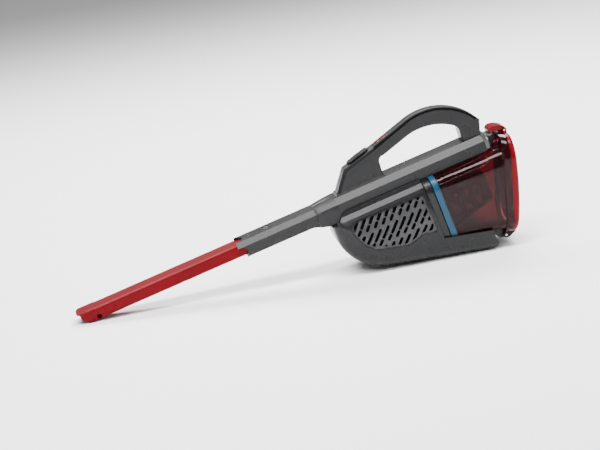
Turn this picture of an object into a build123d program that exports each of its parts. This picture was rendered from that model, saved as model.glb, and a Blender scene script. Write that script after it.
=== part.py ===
"""Cordless hand vacuum with a pull-out crevice tool, a loop handle and a rear dust bowl.

Every piece is drawn in the tool's frame: X runs along the tool from its tip to the rear, Z is up from
the tool's axis and Y is the width.  At the end the whole assembly is turned so that the tool's lip and
the rear feet both stand on Z = 0, with the origin under the middle of the assembly.
"""
import os
from math import atan2, cos, degrees, radians, sin, tan

from build123d import *

os.makedirs("parts", exist_ok=True)

# ---- driving dimensions, millimetres ----------------------------------------------------------
# crevice tool
tool_width = 36.0
tool_height = 17.6
tool_wall = 1.8
tool_corner = 3.2
tool_front = -251.0
tool_lip = -232.0
tool_tail = 35.0
slide_gap = 0.4

# barrel
barrel_front = -4.0
barrel_rear = 117.0
barrel_half = 22.3
barrel_top = 12.0
barrel_floor = -10.8
barrel_bevel_half = 15.2
barrel_bevel_z = 4.9

# spine
spine_front = 150.0
spine_rear = 379.0
spine_half = 25.5
spine_top = 15.0
spine_flat_half = 16.6
spine_bevel_z = 7.0
spine_floor = -8.0
shell = 2.4

# motor pod and belly
pod_front = 131.0
pod_rear = 272.0
belly_rear = 342.0
belly_angle = 15.0
belly_x0 = 185.0
belly_z0 = -102.0
belly_corner_radius = 8.0
crease_radius = 14.0
lip_height = 5.0
pod_half = 50.0
ledge_z = -5.5

# handle
handle_half = 13.5
strip_height = 4.0
strip_half = 10.8
gap_front = 230.0
gap_rear = 353.5

# bowl
seat_rear = 282.0
ring_front = 283.0
bowl_front = 292.0
bowl_top = -8.4
bowl_half_front = 47.6
bowl_half_rear = 49.2
bowl_floor_at_seat = -100.1
bowl_wall = 2.4
rim_tilt = 17.0
rim_x = 401.0
rim_z = 3.0
rim_half = 52.0
rim_rise = 4.2
rim_drop = 139.0
collar_depth = 8.8
door_depth = 12.5

# fan, motor and filter opening
motor_z = -62.0
motor_radius = 21.0
shaft_radius = 1.6
fan_radius = 28.0
filter_z = motor_z
filter_width = 76.0
filter_height = 58.0

# inlet duct
duct_z = -20.2
duct_half = 16.0
duct_half_height = 7.4
duct_wall = 1.6

# battery cells
cell_radius = 9.1
cell_length = 65.0
cell_count = 4
cell_pitch = 18.8

# charging socket low in the pod's right side
socket_x = 257.0
socket_z = -96.0
socket_bore = 2.8
socket_radius = 4.5
socket_depth = 9.0
socket_flange = 0.8

# screws through both shells: places from the side, all driven from the right
screw_places = [(190, 34), (366, 30), (146, -48), (334.5, -121.5), (238, -106.5)]
screw_radius = 1.3
screw_head = 2.8
screw_seat = 8.0
screw_post = 4.6

belly_slope = tan(radians(belly_angle))
pieces = []


def belly_z(x):
    """Outer bottom of the belly at x."""
    return belly_z0 - belly_slope * (x - belly_x0)


def bowl_z(x):
    """Outer bottom of the bowl at x, parallel to the belly."""
    return bowl_floor_at_seat - belly_slope * (x - pod_rear)


def rim_point(u, v):
    """Point in XZ given along the rim plane (u, downwards) and off it (v, rearwards)."""
    t = radians(rim_tilt)
    return (rim_x - u * sin(t) + v * cos(t), rim_z - u * cos(t) - v * sin(t))


def rim_plane(v):
    """Plane across the bowl's rim, v behind it: local x is Y and local y points up the rim."""
    x, z = rim_point(0.0, v)
    t = radians(rim_tilt)
    return Plane(origin=(x, 0, z), x_dir=(0, 1, 0), z_dir=(cos(t), 0, -sin(t)))


def keep(part, label):
    """Names a finished piece and puts it with the others."""
    part.label = label
    pieces.append(part)


# ---- shared outlines --------------------------------------------------------------------------
def facet_section(x, half, flat_half, top, bevel_z, floor):
    """Faceted section of barrel and spine: flat top, two bevels, straight sides."""
    with BuildSketch(Plane.YZ.offset(x)) as section:
        with BuildLine():
            Polyline(
                (flat_half, top),
                (half, bevel_z),
                (half, floor),
                (-half, floor),
                (-half, bevel_z),
                (-flat_half, top),
                close=True,
            )
        make_face()
    return section.sketch


def pod_section(x, length, inset):
    """Pod's constant section, extruded: ledge, light-catching bevel, bulging side, open-ended below."""
    with BuildSketch(Plane.YZ.offset(x)) as section:
        with BuildLine():
            shoulder = (37.5 - 1.2 * inset, -17.0 - 0.6 * inset)
            waist = (pod_half - inset, -58.0)
            ledge = [(0, ledge_z - inset), (30.0 - inset, ledge_z - inset), (31.5 - inset, -11.0 - inset)]
            Polyline(*ledge, shoulder)
            TangentArc(waist, shoulder, tangent=(0, 1))
            Polyline(waist, (pod_half - inset, -160), (0, -160))
            mirror(about=Plane.YZ)
        make_face()
    return extrude(section.sketch, amount=length, mode=Mode.PRIVATE)


def pod_profile(inset):
    """Pod and belly from the side: blunt front, round chin, straight sloping bottom."""
    top = ledge_z - inset
    front_x = pod_front + inset
    rear_x = belly_rear - inset
    rise = inset / cos(radians(belly_angle))
    with BuildSketch(Plane.XZ) as profile:
        with BuildLine():
            brow = Polyline((rear_x, top), (164, top))
            temple = TangentArc(brow @ 1, (140.5 + inset, -20), tangent=(-1, 0))
            front = Polyline(temple @ 1, (front_x, -21.5 - 0.3 * inset), (front_x, -38))
            chin = Bezier(front @ 1, (front_x, -72), (158, -94.8 + rise), (belly_x0, belly_z0 + rise))
            Polyline(chin @ 1, (rear_x, belly_z(rear_x) + rise), (rear_x, top))
        make_face()
    return extrude(profile.sketch, amount=70, both=True, mode=Mode.PRIVATE)


def pod_plan(inset):
    """Pod and belly from above: rounded nose widening to full width."""
    front_x = pod_front + inset
    with BuildSketch(Plane.XY) as plan:
        with BuildLine():
            nose = Line((front_x, 0), (front_x, 18 - 0.5 * inset))
            cheek = Bezier(nose @ 1, (front_x, 40 - inset), (154, 48 - inset), (196, 54 - inset))
            Polyline(cheek @ 1, (belly_rear, 60), (belly_rear, 0))
            mirror(about=Plane.XZ)
        make_face()
    return extrude(plan.sketch, amount=170, both=True, mode=Mode.PRIVATE)


def belly_corner(inset):
    """What is cut off the belly's lower rear corner to round it."""
    slant = radians(belly_angle)
    radius = belly_corner_radius - inset
    rear_x = belly_rear - inset
    centre_x = rear_x - radius
    centre_z = belly_z(centre_x) + (inset + radius) / cos(slant)
    under = (centre_x - radius * sin(slant), centre_z - radius * cos(slant))
    with BuildSketch(Plane.XZ) as corner:
        with BuildLine():
            turn = TangentArc((rear_x, centre_z), under, tangent=(0, -1))
            Polyline(turn @ 1, (under[0], -170), (rear_x + 10, -170), (rear_x + 10, centre_z), turn @ 0)
        make_face()
    return extrude(corner.sketch, amount=70, both=True, mode=Mode.PRIVATE)


def pod_solid(inset):
    """Pod and belly with their creases, bottom edges and lower rear corner rounded."""
    block = pod_section(pod_front, belly_rear - pod_front, inset) & pod_profile(inset) & pod_plan(inset)
    creases = [
        edge
        for edge in block.edges()
        if edge.center().Z < -60
        and edge.bounding_box().min.Z < -62
        and abs(edge.center().Y) > 25
        and edge.center().X < belly_rear - inset - 1
    ]
    return fillet(creases, crease_radius - inset) - belly_corner(inset)


def rounded_section(plane, half, top, bottom, top_radius, bottom_radius):
    """Upright rectangle on a plane, with its own corner radius above and below."""
    with BuildSketch(plane) as section:
        with Locations((0, (top + bottom) / 2)):
            Rectangle(2 * half, top - bottom)
        fillet(section.vertices().sort_by(Axis.Y)[-2:], top_radius)
        fillet(section.vertices().sort_by(Axis.Y)[:2], bottom_radius)
    return section.sketch


def ring_section(x, inset):
    """Outline shared by the filter seat, the filter frame and the bowl's mouth, at x."""
    return rounded_section(
        Plane.YZ.offset(x),
        bowl_half_front - inset,
        bowl_top - inset,
        bowl_z(x) + inset,
        20.0 - 0.6 * inset,
        10.0 - 0.6 * inset,
    )


def bowl_sections(inset, front, end):
    """Sections of the bowl's body at its mouth and at v = end behind the rim plane."""
    top_u = (rim_z - bowl_top) / cos(radians(rim_tilt))
    rim_section = rounded_section(
        rim_plane(end),
        bowl_half_rear - inset,
        -top_u - inset,
        -132.8 + inset,
        27.0 - 0.6 * inset,
        18.0 - 0.6 * inset,
    )
    return [ring_section(front, inset), rim_section]


def rim_outline(v, inset):
    """Outline shared by the bowl's collar, the door and its seal, at v behind the rim."""
    return rounded_section(
        rim_plane(v),
        rim_half - inset,
        rim_rise - inset,
        inset - rim_drop,
        34.0 - 0.7 * inset,
        26.0 - 0.7 * inset,
    )


def handle_outline(inset):
    """Side outline of the loop handle without its finger gap, strip included when inset is 0."""
    with BuildSketch(Plane.XZ) as outline:
        with BuildLine():
            front = Polyline((150, 6), (154.5, 15), (179, 46.5), (229, 59.7), (285, 76.3))
            crest = TangentArc(front @ 1, (386, 36), tangent=front % 1)
            Polyline(crest @ 1, (379.5, 15), (379, 6), front @ 0)
        make_face()
        if inset:
            offset(amount=-inset, kind=Kind.INTERSECTION, mode=Mode.REPLACE)
    return outline.sketch


def gap_outline(grow=0.0):
    """Side outline of the finger gap, closed below by the spine's flat top."""
    with BuildSketch(Plane.XZ) as outline:
        with BuildLine():
            post = Line((gap_front - 1.5, spine_top), (gap_front, 36))
            front_turn = TangentArc(post @ 1, (239, 43.4), tangent=post % 1)
            ceiling = Line(front_turn @ 1, (278, 54.6))
            crown = TangentArc(ceiling @ 1, (349, 41.5), tangent=ceiling % 1)
            rear_turn = TangentArc(crown @ 1, (gap_rear, 32), tangent=crown % 1)
            Polyline(rear_turn @ 1, (gap_rear - 1, spine_top), post @ 0)
        make_face()
        if grow:
            offset(amount=grow, kind=Kind.INTERSECTION, mode=Mode.REPLACE)
    return outline.sketch


# ---- crevice tool -----------------------------------------------------------------------------
tool_top = tool_height / 2
bore_width = tool_width - 2 * tool_wall
bore_height = tool_height - 2 * tool_wall
bore_corner = tool_corner - 1.5
dimple_x = tool_front + 56
dimple_y = tool_width / 2 + 1.4
with BuildPart() as crevice_tool:
    with BuildSketch(Plane.YZ.offset(tool_front)):
        RectangleRounded(tool_width, tool_height, tool_corner)
    extrude(amount=tool_tail - tool_front)
    with BuildSketch(Plane.YZ.offset(tool_front)):
        RectangleRounded(tool_width + 1.2, tool_height + 1.2, tool_corner)
    extrude(amount=28)
    with BuildSketch(Plane.YZ.offset(tool_front - 1)):
        RectangleRounded(bore_width, bore_height, bore_corner)
    extrude(amount=tool_tail - tool_front + 2, mode=Mode.SUBTRACT)
    # slanted mouth: open from the nose down to the lip
    with BuildSketch(Plane.XZ):
        with BuildLine():
            nose = Line((tool_lip, -tool_top - 2), (tool_front + 1.5, 4.0))
            Polyline(nose @ 1, (tool_front - 5, 4.0), (tool_front - 5, -tool_top - 2), nose @ 0)
        make_face()
    extrude(amount=tool_width, both=True, mode=Mode.SUBTRACT)
    # rounded nose in plan
    with BuildSketch(Plane.XY):
        with Locations((tool_front + 20, 0)):
            RectangleRounded(60, tool_width + 20, 1)
        with Locations((tool_front + 40, 0)):
            RectangleRounded(80, tool_width + 1.2, 12, mode=Mode.SUBTRACT)
        with Locations((tool_front + 40, 0)):
            Rectangle(44, tool_width + 20, mode=Mode.SUBTRACT)
    extrude(amount=tool_height, both=True, mode=Mode.SUBTRACT)
    # bleed holes low in both sides, detent dimples further back
    with BuildSketch(Plane.XZ.offset(-tool_width)):
        with Locations((tool_front + 30, -4.4)):
            Circle(3.4)
    extrude(amount=2 * tool_width, mode=Mode.SUBTRACT)
    with Locations((dimple_x, -dimple_y, 0), (dimple_x, dimple_y, 0)):
        Sphere(2.4, mode=Mode.SUBTRACT)
keep(crevice_tool.part, "crevice_tool")

with BuildPart() as tool_seal:
    with BuildSketch(Plane.YZ.offset(tool_tail + 0.02)):
        RectangleRounded(tool_width, tool_height, tool_corner)
        RectangleRounded(bore_width, bore_height, bore_corner, mode=Mode.SUBTRACT)
    extrude(amount=3)
keep(tool_seal.part, "tool_seal")

# ---- barrel -----------------------------------------------------------------------------------
channel_width = tool_width + 2 * slide_gap
channel_height = tool_height + 2 * slide_gap
channel_corner = tool_corner + slide_gap
guide_wall = 1.0
guide_front = 131.2
guide_rear = 246.0
slider_length = 23.0
slider_half = 8.0
slider_front = 16.0
slider_travel = 4.0
with BuildPart() as nozzle_barrel:
    mouth = facet_section(
        barrel_front,
        barrel_half,
        barrel_bevel_half,
        barrel_top,
        barrel_bevel_z,
        barrel_floor,
    )
    extrude(mouth, amount=barrel_rear - barrel_front)
    # skirt that flares down to the housing
    with BuildSketch(Plane.XZ):
        with BuildLine():
            skirt = ThreePointArc((100, barrel_floor), (110, -11.9), (barrel_rear, -15.2))
            Polyline(skirt @ 1, (barrel_rear, barrel_floor + 1), (100, barrel_floor + 1), skirt @ 0)
        make_face()
    extrude(amount=barrel_half, both=True)
    with BuildSketch(Plane.YZ.offset(barrel_front - 1)):
        RectangleRounded(channel_width + 0.6, channel_height + 0.2, channel_corner)
    extrude(amount=barrel_rear - barrel_front + 2, mode=Mode.SUBTRACT)
    # crown mouth: hollowed sides and top leave the bevels pointing forward
    with BuildSketch(Plane.XZ):
        with BuildLine():
            hollow = ThreePointArc((barrel_front - 1, -11.2), (8.0, -5.5), (barrel_front - 1, 3.6))
            Line(hollow @ 1, hollow @ 0)
        make_face()
    extrude(amount=barrel_half + 1, both=True, mode=Mode.SUBTRACT)
    with BuildSketch(Plane.XY.offset(6)):
        with BuildLine():
            brow = ThreePointArc((barrel_front - 1, -14), (7.0, 0), (barrel_front - 1, 14))
            Line(brow @ 1, brow @ 0)
        make_face()
    extrude(amount=8, mode=Mode.SUBTRACT)
    # blind pocket and pawl slot of the release slider
    with BuildSketch(Plane.XY.offset(barrel_top - 1.2)):
        with Locations((slider_front - 0.3 + (slider_length + slider_travel + 6.6) / 2, 0)):
            Rectangle(slider_length + slider_travel + 6.6, 2 * slider_half + 0.6)
    extrude(amount=3, mode=Mode.SUBTRACT)
    with BuildSketch(Plane.XY.offset(5)):
        with Locations((slider_front + 12, 0)):
            Rectangle(15, 7)
    extrude(amount=10, mode=Mode.SUBTRACT)
keep(nozzle_barrel.part, "nozzle_barrel")

with BuildPart() as tool_release:
    with BuildSketch(Plane.XY.offset(barrel_top - 1.0)):
        with Locations((slider_front + slider_length / 2, 0)):
            Rectangle(slider_length, 2 * slider_half)
    extrude(amount=1.9)
    chamfer(tool_release.faces().sort_by(Axis.Z)[-1].edges(), 0.6)
    rib_top = barrel_top + 0.9
    for i in range(7):
        with BuildSketch(Plane.XY.offset(rib_top - 0.1)):
            with Locations((slider_front + 4 + 2.5 * i, 0)):
                SlotOverall(2 * slider_half - 4, 1.1, rotation=90)
        extrude(amount=0.8)
    with BuildSketch(Plane.XY.offset(barrel_top - 2.3)):
        with Locations((slider_front + 10, 0)):
            Rectangle(8, 6)
    extrude(amount=1.4)
keep(tool_release.part, "tool_release")

with BuildPart() as release_spring:
    with BuildSketch(Plane.XY.offset(barrel_top - 1.1)):
        with BuildLine():
            spring_front = slider_front + slider_length + 0.3
            Polyline(
                (spring_front, -6),
                (spring_front + 9.0, -3.5),
                (spring_front + 0.6, -1),
                (spring_front + 9.0, 1.5),
                (spring_front + 0.6, 4),
                (spring_front + 9.0, 6.5),
            )
        trace(line_width=0.5)
    extrude(amount=0.9)
keep(release_spring.part, "release_spring")

# ---- handle -----------------------------------------------------------------------------------
slope_angle = degrees(atan2(13.2, 50.0))
slope = Plane(
    origin=(204, 0, 53.1),
    x_dir=(cos(radians(slope_angle)), 0, sin(radians(slope_angle))),
    z_dir=(-sin(radians(slope_angle)), 0, cos(radians(slope_angle))),
)
strip_break = 229.8
strip_end = 37.2


def strip_outline():
    """Side outline of everything black on top of the handle: switch base and grip strip."""
    below = strip_height / cos(radians(slope_angle))
    rise = tan(radians(slope_angle))
    with BuildSketch(Plane.XZ) as outline:
        add(handle_outline(0))
        add(handle_outline(strip_height), mode=Mode.SUBTRACT)
        with BuildLine():
            Polyline(
                (170, 46.5 - below - 9 * rise),
                (strip_break, 46.5 - below + (strip_break - 179) * rise),
                (strip_break, strip_end),
                (400, strip_end),
                (400, 95),
                (170, 95),
                close=True,
            )
        make_face(mode=Mode.INTERSECT)
    return outline.sketch


def top_edges(part):
    """Long edges of a strip's upper faces, on both sides."""
    return [
        edge
        for face in part.faces()
        if face.normal_at().Z > 0.3
        for edge in face.edges()
        if abs(abs(edge.center().Y) - strip_half) < 0.1
    ]


with BuildPart() as handle:
    extrude(handle_outline(0), amount=handle_half, both=True)
    extrude(gap_outline(), amount=handle_half + 1, both=True, mode=Mode.SUBTRACT)
    gap_edges = [
        edge
        for edge in handle.edges()
        if abs(abs(edge.center().Y) - handle_half) < 0.1
        and 225 < edge.center().X < 356
        and 20 < edge.center().Z < 59.5
    ]
    fillet(gap_edges, 3.0)
    front_edges = [
        edge
        for edge in handle.edges()
        if abs(abs(edge.center().Y) - handle_half) < 0.1 and edge.center().X < 170 and edge.center().Z > 25
    ]
    chamfer(front_edges, 4.0)
    extrude(strip_outline(), amount=handle_half + 1, both=True, mode=Mode.SUBTRACT)

# ---- housing ----------------------------------------------------------------------------------
grille_points = [
    (165, -21.5),
    (267.0, -23.5),
    (267.0, -82.0),
    (247, -77.5),
    (223, -84.0),
    (177, -71.5),
    (163, -59),
    (153.5, -38),
    (154.5, -27),
]


def grille_outline(grow):
    """Side outline of the exhaust grille, grown all round."""
    with BuildSketch(Plane.XZ) as outline:
        with BuildLine():
            Polyline(*grille_points, close=True)
        make_face()
        fillet(outline.vertices(), 3.0)
        if grow:
            offset(amount=grow, mode=Mode.REPLACE)
    return outline.sketch


def above_belly(front, drop):
    """Everything above the belly behind the pod, down to drop below the lip round the bowl."""
    with BuildSketch(Plane.XZ) as region:
        with BuildLine():
            Polyline(
                (front, 60),
                (front, bowl_z(front) + lip_height - drop),
                (belly_rear + 10, bowl_z(belly_rear + 10) + lip_height - drop),
                (belly_rear + 10, 60),
                close=True,
            )
        make_face()
    return extrude(region.sketch, amount=70, both=True, mode=Mode.PRIVATE)


pod_outer = pod_solid(0.0)
pod_inner = pod_solid(shell)

with BuildPart() as pod:
    add(pod_outer)
    add(above_belly(pod_rear, 0.0), mode=Mode.SUBTRACT)
    loft(bowl_sections(-0.5, pod_rear, 0.0), ruled=True, mode=Mode.SUBTRACT)

with BuildPart() as pod_cavity:
    add(pod_inner)
    add(above_belly(pod_rear - shell, shell), mode=Mode.SUBTRACT)
    loft(bowl_sections(-0.5 - shell, pod_rear - shell, 0.0), ruled=True, mode=Mode.SUBTRACT)

with BuildPart() as spine:
    neck_sections = [
        facet_section(barrel_rear + 0.3, barrel_half, barrel_bevel_half, barrel_top, barrel_bevel_z, -15.2),
        facet_section(131.0, 23.3, 15.4, 13.8, 6.0, -18.5),
        facet_section(spine_front, spine_half, spine_flat_half, spine_top, spine_bevel_z, -19.0),
    ]
    loft(neck_sections)
    spine_section = facet_section(
        spine_front,
        spine_half,
        spine_flat_half,
        spine_top,
        spine_bevel_z,
        spine_floor,
    )
    extrude(spine_section, amount=spine_rear - spine_front)
    chamfer(spine.faces().sort_by(Axis.X)[-1].edges().filter_by(Axis.Y).sort_by(Axis.Z)[-1], 2.0)

guide_width = channel_width + 2 * guide_wall
guide_height = channel_height + 2 * guide_wall
guide_corner = channel_corner + guide_wall
with BuildPart() as spine_cavity:
    with BuildSketch(Plane.YZ.offset(barrel_rear)):
        RectangleRounded(channel_width + 0.6, channel_height + 0.2, channel_corner)
    extrude(amount=20)
    with BuildSketch(Plane.YZ.offset(guide_front - 0.2)):
        RectangleRounded(guide_width + 0.4, guide_height + 0.4, guide_corner + 0.2)
    extrude(amount=30)
    inner_half = spine_half - shell
    inner_flat = spine_flat_half - 1.6
    inner = facet_section(spine_front, inner_half, inner_flat, 12.6, 5.6, -24.0)
    extrude(inner, amount=pod_rear - shell - spine_front)
    inner = facet_section(pod_rear - 3, inner_half, inner_flat, 12.6, 5.6, spine_floor + 2.2)
    extrude(inner, amount=spine_rear - shell - pod_rear + 3)

with BuildPart() as handle_cavity:
    extrude(handle_outline(strip_height + shell), amount=handle_half - shell, both=True)
    extrude(gap_outline(shell), amount=handle_half, both=True, mode=Mode.SUBTRACT)

with BuildPart() as housing:
    add(pod.part)
    add(spine.part)
    add(handle.part)
    # plinth under the front post
    with BuildSketch(Plane.XY.offset(spine_top)):
        with Locations((192.5, 0)):
            Rectangle(78, 2 * handle_half + 4.4)
    extrude(amount=2.6, taper=38)
    add(pod_cavity.part, mode=Mode.SUBTRACT)
    add(spine_cavity.part, mode=Mode.SUBTRACT)
    add(handle_cavity.part, mode=Mode.SUBTRACT)
    extrude(grille_outline(0), amount=60, both=True, mode=Mode.SUBTRACT)
    # recessed side panels of the front post
    for side in (-1, 1):
        with BuildSketch(Plane.XZ.offset(side * handle_half)):
            with BuildLine():
                Polyline((173, 20.5), (188, 41.5), (222, 50.5), (220, 20.5), close=True)
            make_face()
        extrude(amount=-side * 0.7, mode=Mode.SUBTRACT)
    # bulkhead openings: inlet duct and fan inlet
    with BuildSketch(Plane.YZ.offset(pod_rear - shell - 1)):
        with Locations((0, duct_z)):
            Rectangle(2 * duct_half, 2 * duct_half_height)
        with Locations((0, filter_z)):
            RectangleRounded(filter_width, filter_height, 10)
    extrude(amount=shell + 2, mode=Mode.SUBTRACT)
    # slot of the power switch, window of the bowl release and hole of the charging socket
    with BuildSketch(slope.offset(-strip_height - 6)):
        with Locations((-3, 0)):
            Rectangle(22, 9)
    extrude(amount=8, mode=Mode.SUBTRACT)
    with BuildSketch(Plane.YZ.offset(spine_rear - shell - 1)):
        with Locations((0, 2.5)):
            Rectangle(15.4, 10.4)
    extrude(amount=shell + 2, mode=Mode.SUBTRACT)
    with BuildSketch(Plane.XZ.offset(-pod_half - 1)):
        with Locations((socket_x, socket_z)):
            Circle(socket_radius + 0.1)
    extrude(amount=2 * shell, mode=Mode.SUBTRACT)
    # screw posts with counterbores from the right and blind bores in the left shell
    with BuildSketch(Plane.XZ):
        with Locations(*screw_places):
            Circle(screw_post)
    posts = extrude(amount=60, both=True, mode=Mode.PRIVATE)
    add(posts & (pod.part + spine.part + handle.part))
    with BuildSketch(Plane.XZ.offset(-screw_seat)):
        with Locations(*screw_places):
            Circle(screw_radius + 0.05)
    extrude(amount=screw_seat + 9, mode=Mode.SUBTRACT)
    with BuildSketch(Plane.XZ.offset(-screw_seat)):
        with Locations(*screw_places):
            Circle(screw_head + 0.3)
    extrude(amount=-60, mode=Mode.SUBTRACT)

# body shells below the spine's flat top, handle shells with their plinth above it
for name, side in (("left", Keep.TOP), ("right", Keep.BOTTOM)):
    for label, level in (("housing", Keep.BOTTOM), ("handle", Keep.TOP)):
        with BuildPart() as shell_half:
            add(housing.part)
            split(bisect_by=Plane.XZ, keep=side)
            split(bisect_by=Plane.XY.offset(spine_top), keep=level)
        keep(shell_half.part, f"{label}_{name}")

with BuildPart() as housing_screws:
    with BuildSketch(Plane.XZ.offset(-screw_seat)):
        with Locations(*screw_places):
            Circle(screw_radius)
    extrude(amount=screw_seat + 8)
    with BuildSketch(Plane.XZ.offset(-screw_seat)):
        with Locations(*screw_places):
            Circle(screw_head)
    extrude(amount=-2.4)
    with BuildSketch(Plane.XZ.offset(-screw_seat - 1.2)):
        with Locations(*screw_places):
            Rectangle(3.2, 0.8)
            Rectangle(0.8, 3.2)
    extrude(amount=-2, mode=Mode.SUBTRACT)
keep(housing_screws.part, "housing_screws")

# ---- tool's guide sleeve and the elbow down to the bowl's inlet ---------------------------------
with BuildPart() as tool_guide:
    with BuildSketch(Plane.YZ.offset(guide_front)):
        RectangleRounded(guide_width, guide_height, guide_corner)
        RectangleRounded(channel_width, channel_height, channel_corner, mode=Mode.SUBTRACT)
    extrude(amount=guide_rear - guide_front)
keep(tool_guide.part, "tool_guide")

elbow_front = guide_rear + 0.3
elbow_rear = pod_rear - shell - 0.2
duct_width = 2 * duct_half
duct_height = 2 * duct_half_height


def elbow_sections(grow):
    """Sections of the inlet elbow at its front and rear end."""
    with BuildSketch(Plane.YZ.offset(elbow_front)) as first:
        RectangleRounded(channel_width + grow, channel_height + grow, channel_corner)
    with BuildSketch(Plane.YZ.offset(elbow_rear)) as last:
        with Locations((0, duct_z)):
            RectangleRounded(duct_width + grow, duct_height + grow, 2)
    return [first.sketch, last.sketch]


with BuildPart() as inlet_elbow:
    loft(elbow_sections(2 * guide_wall), ruled=True)
    loft(elbow_sections(0), ruled=True, mode=Mode.SUBTRACT)
keep(inlet_elbow.part, "inlet_elbow")

# ---- black parts on top of the handle -----------------------------------------------------------
lens_length = 22.0
lens_width = 7.0
lens_depth = 1.8
lens_angle = 16.5
lens_plane = Plane(
    origin=(244.5, 0, 64.3),
    x_dir=(cos(radians(lens_angle)), 0, sin(radians(lens_angle))),
    z_dir=(-sin(radians(lens_angle)), 0, cos(radians(lens_angle))),
)
with BuildPart() as handle_grip:
    extrude(strip_outline(), amount=strip_half, both=True)
    with BuildSketch(Plane.XZ):
        with Locations((strip_break - 100, 40)):
            Rectangle(200.3, 200)
    extrude(amount=handle_half, both=True, mode=Mode.SUBTRACT)
    fillet(top_edges(handle_grip), 2.2)
    with BuildSketch(lens_plane.offset(-lens_depth)):
        SlotOverall(lens_length + 0.1, lens_width + 0.1)
    extrude(amount=8, mode=Mode.SUBTRACT)
keep(handle_grip.part, "handle_grip")

with BuildPart() as indicator_lens:
    with BuildSketch(lens_plane.offset(-lens_depth)):
        SlotOverall(lens_length, lens_width)
    extrude(amount=lens_depth + 0.4)
    fillet(indicator_lens.faces().sort_by(Axis.Z)[-1].edges(), 0.35)
keep(indicator_lens.part, "indicator_lens")

switch_travel = 6.0
cap_rear = 19.0
cap_front = -17.0
cap_half = 8.5
with BuildPart() as switch_bezel:
    extrude(strip_outline(), amount=strip_half, both=True)
    with BuildSketch(Plane.XZ):
        with Locations((strip_break + 100, 40)):
            Rectangle(200, 200)
    extrude(amount=handle_half, both=True, mode=Mode.SUBTRACT)
    fillet(top_edges(switch_bezel), 1.6)
    with BuildSketch(slope.offset(-strip_height - 2)):
        with Locations((-switch_travel / 2, 0)):
            Rectangle(switch_travel + 10, 6)
    extrude(amount=strip_height + 4, mode=Mode.SUBTRACT)
keep(switch_bezel.part, "switch_bezel")

with BuildPart() as power_switch:
    with BuildSketch(slope.offset(0.3)):
        with Locations(((cap_front + cap_rear) / 2, 0)):
            RectangleRounded(cap_rear - cap_front, 2 * cap_half, 6)
    extrude(amount=2.9)
    fillet(power_switch.faces().sort_by(Axis.Z)[-1].edges(), 1.4)
    # thumb hollow with raised ribs
    for i in range(5):
        with BuildSketch(slope.offset(3.0)):
            with Locations((-6 + 3.1 * i, 0)):
                SlotOverall(2 * cap_half - 4, 1.3, rotation=90)
        extrude(amount=1.0)
    with BuildSketch(slope.offset(-8)):
        Rectangle(8, 4.8)
    extrude(amount=8.6)
keep(power_switch.part, "power_switch")

with BuildPart() as switch_body:
    with BuildSketch(slope.offset(-17)):
        with Locations((-1, 0)):
            Rectangle(20, 12)
    extrude(amount=8.2)
    with BuildSketch(slope.offset(-10.5)):
        with Locations((-switch_travel / 2, 0)):
            Rectangle(switch_travel + 9, 5.8)
    extrude(amount=4, mode=Mode.SUBTRACT)
    with BuildSketch(slope.offset(-20)):
        with Locations((-6, 0), (-1, 0), (4, 0)):
            Rectangle(0.8, 2.4)
    extrude(amount=3.5)
keep(switch_body.part, "switch_body")

# ---- exhaust grilles ----------------------------------------------------------------------------
vent_width = 4.4
vent_pitch = 8.5
vent_gap = 3.6
vent_lengths = (21.0, 10.5)
vent_cycle = sum(vent_lengths) + 2 * vent_gap
vent_centre = (212.0, -50.0)


def vent_rows():
    """Slanted rows of alternating long and short slots, trimmed inside the grille's frame."""
    half = sin(radians(45))
    with BuildSketch(Plane.XZ) as rows:
        for row in range(-9, 10):
            for step in range(-4, 5):
                for index, length in enumerate(vent_lengths):
                    along = step * vent_cycle + index * (vent_cycle / 2 + 2.75) + 9.0 * (row % 4)
                    x = vent_centre[0] + half * (along + row * vent_pitch)
                    z = vent_centre[1] + half * (along - row * vent_pitch)
                    if 140 < x < 280 and -95 < z < -10:
                        with Locations((x, z)):
                            SlotOverall(length, vent_width, rotation=45)
        add(grille_outline(-2.8), mode=Mode.INTERSECT)
    return rows.sketch


grille_recess = 2.7
grille_thick = 2.2
grille_shell = pod_solid(grille_recess) - pod_solid(grille_recess + grille_thick)
vents = extrude(vent_rows(), amount=60, both=True)
frame_block = extrude(grille_outline(2.0), amount=60, both=True)
for side, name in ((-1, "grille_left"), (1, "grille_right")):
    with BuildPart() as grille:
        add(grille_shell)
        add(frame_block, mode=Mode.INTERSECT)
        with Locations((200, side * 40, -50)):
            Box(200, 60, 140, mode=Mode.INTERSECT)
        add(vents, mode=Mode.SUBTRACT)
    keep(grille.part, name)

# ---- filter seat and gasket ---------------------------------------------------------------------
filter_corner = 10.0
with BuildPart() as filter_seat:
    loft([ring_section(pod_rear + 0.3, 0), ring_section(seat_rear - 0.2, 0)], ruled=True)
    with BuildSketch(Plane.YZ.offset(pod_rear)):
        with Locations((0, duct_z)):
            RectangleRounded(duct_width, duct_height, 2)
        with Locations((0, filter_z)):
            RectangleRounded(filter_width, filter_height, filter_corner)
    extrude(amount=12, mode=Mode.SUBTRACT)
keep(filter_seat.part, "filter_seat")

with BuildPart() as seat_gasket:
    with BuildSketch(Plane.YZ.offset(seat_rear - 0.2)):
        with Locations((0, -52)):
            RectangleRounded(84, 83.4, 13)
        with Locations((0, duct_z)):
            RectangleRounded(duct_width + 1, duct_height + 1, 2, mode=Mode.SUBTRACT)
        with Locations((0, filter_z)):
            RectangleRounded(filter_width + 2, filter_height, filter_corner, mode=Mode.SUBTRACT)
    extrude(amount=0.8)
keep(seat_gasket.part, "seat_gasket")

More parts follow.
